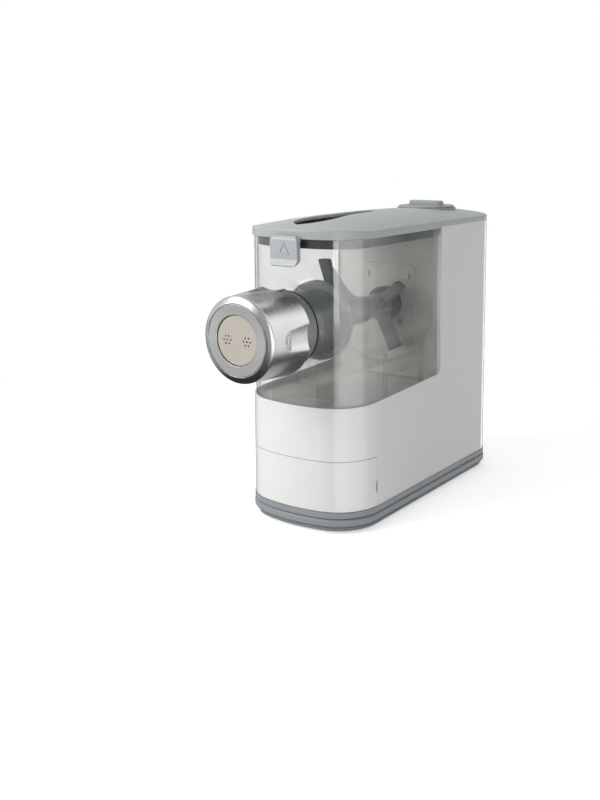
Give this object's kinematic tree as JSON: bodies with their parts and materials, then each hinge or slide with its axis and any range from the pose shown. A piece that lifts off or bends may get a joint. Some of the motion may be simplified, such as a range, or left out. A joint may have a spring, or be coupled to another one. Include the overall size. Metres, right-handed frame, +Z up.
{
  "type": "electric pasta maker",
  "caption": "Worktop pasta maker: clear mixing chamber with a paddle, slotted hinged lid, front extrusion tube with a steel lock ring, disc drawer and a selector knob.",
  "frame": {"origin": "on the table, under the centre of the overall box", "axes": "+Z up, -Y out of the front where the pasta leaves, +X to the right seen from behind the origin towards +Y"},
  "size_m": [0.135, 0.35, 0.287],
  "materials": {
    "shell_white": "gloss off-white moulding",
    "base_grey": "satin blue-grey moulding",
    "deck_white": "gloss light moulding",
    "plate_grey": "satin light grey moulding",
    "cap_grey": "satin blue-grey moulding",
    "clasp_grey": "satin light grey moulding",
    "rim_dark": "dark grey moulding",
    "knob_grey": "satin grey moulding",
    "clear_chamber": "clear smoke-tinted moulding",
    "trough_clear": "clear tinted moulding",
    "paddle_grey": "mid grey food-grade moulding",
    "tube_grey": "mid grey food-grade moulding",
    "ring_steel": "brushed steel",
    "disc_beige": "warm beige-grey moulding",
    "rubber_black": "black rubber",
    "seal_black": "black silicone rubber",
    "screw_steel": "zinc plated steel",
    "shaft_steel": "ground steel",
    "bearing_bronze": "sintered bronze",
    "gear_white": "white acetal",
    "case_black": "black glass-filled moulding",
    "motor_steel": "plated steel",
    "magnet_dark": "ferrite",
    "armature_metal": "laminated steel with copper windings",
    "brush_black": "phenolic holder with carbon brush",
    "fan_grey": "dark grey moulding",
    "board_green": "green circuit laminate",
    "parts_dark": "moulded components",
    "switch_black": "black switch body",
    "drawer_white": "gloss off-white moulding",
    "tray_grey": "light grey moulding"
  },
  "bodies": {
    "machine": {"base_tray": "base_grey", "rubber_feet": "rubber_black", "base_screws": "screw_steel", "housing_shell": "shell_white", "chamber_deck": "deck_white", "drive_plate": "plate_grey", "drive_plate_screws": "screw_steel", "locating_pegs": "plate_grey", "top_cap": "cap_grey", "hinge_pin": "shaft_steel", "knob_bezel": "knob_grey", "selector_switch": "switch_black", "mixing_chamber": "clear_chamber", "dough_trough": "trough_clear", "extrusion_tube": "tube_grey", "tube_gasket": "seal_black", "shaping_disc": "disc_beige", "drawer_bay": "base_grey", "safety_switch": "switch_black", "hub_seal": "seal_black", "output_bearing": "bearing_bronze", "gearbox_case": "case_black", "gearbox_cover": "case_black", "gearbox_screws": "screw_steel", "gear_axles": "shaft_steel", "motor_plate": "motor_steel", "motor_screws": "screw_steel", "motor_can": "motor_steel", "motor_end_bell": "case_black", "motor_bearings": "bearing_bronze", "field_magnets": "magnet_dark", "brush_holders": "brush_black", "control_board": "board_green", "board_parts": "parts_dark", "board_screws": "screw_steel", "cord_gland": "rubber_black"},
    "lid": {"lid": "cap_grey", "lid_rim": "rim_dark"},
    "clasp": {"lid_clasp": "clasp_grey", "clasp_pin": "shaft_steel"},
    "ring": {"lock_ring": "ring_steel"},
    "drawer": {"drawer_front": "drawer_white", "drawer_tray": "tray_grey", "drawer_screws": "screw_steel"},
    "knob": {"control_knob": "knob_grey"},
    "plunger": {"safety_plunger": "plate_grey"},
    "rotor": {"rotor_shaft": "shaft_steel", "motor_pinion": "screw_steel", "armature": "armature_metal", "cooling_fan": "fan_grey"},
    "first_wheel": {"first_gear": "gear_white"},
    "second_wheel": {"second_gear": "gear_white"},
    "paddle_drive": {"output_gear": "gear_white", "output_shaft": "shaft_steel", "mixing_paddle": "paddle_grey", "extruding_screw": "paddle_grey"}
  },
  "joints": [
    {"name": "lid_hinge", "type": "hinge", "parent": "machine", "child": "lid", "pos_m": [0, 0.0645, 0.2762], "axis": [-1, 0, 0], "range_deg": [0, 80]},
    {"name": "clasp_hinge", "type": "hinge", "parent": "lid", "child": "clasp", "pos_m": [0, -0.10569, 0.266], "axis": [-1, 0, 0], "range_deg": [0, 35]},
    {"name": "lock_ring_turn", "type": "hinge", "parent": "machine", "child": "ring", "pos_m": [0, -0.149, 0.1885], "axis": [0, 1, 0], "range_deg": [0, 45]},
    {"name": "drawer_slide", "type": "slide", "parent": "machine", "child": "drawer", "axis": [0, -1, 0], "range_m": [0, 0.11]},
    {"name": "knob_turn", "type": "hinge", "parent": "machine", "child": "knob", "pos_m": [0, 0.138, 0.2814], "axis": [0, 0, 1], "range_deg": [-60, 60]},
    {"name": "plunger_slide", "type": "slide", "parent": "machine", "child": "plunger", "axis": [0, 1, 0], "range_m": [0, 0.0022], "stiffness_N_per_m": 300},
    {"name": "rotor_spin", "type": "hinge", "parent": "machine", "child": "rotor", "pos_m": [0, 0.13, 0.084], "axis": [0, 1, 0], "continuous": true},
    {"name": "first_gear_spin", "type": "hinge", "parent": "machine", "child": "first_wheel", "pos_m": [-0.0081, 0.0785, 0.11702], "axis": [0, 1, 0], "continuous": true},
    {"name": "second_gear_spin", "type": "hinge", "parent": "machine", "child": "second_wheel", "pos_m": [0.014, 0.0785, 0.14416], "axis": [0, 1, 0], "continuous": true},
    {"name": "paddle_spin", "type": "hinge", "parent": "machine", "child": "paddle_drive", "pos_m": [0, 0.0785, 0.1885], "axis": [0, 1, 0], "continuous": true}
  ],
  "couplings": [
    {"joint": "first_gear_spin", "follows": "rotor_spin", "ratio": -0.21429},
    {"joint": "second_gear_spin", "follows": "rotor_spin", "ratio": 0.058442},
    {"joint": "paddle_spin", "follows": "rotor_spin", "ratio": -0.017045}
  ]
}
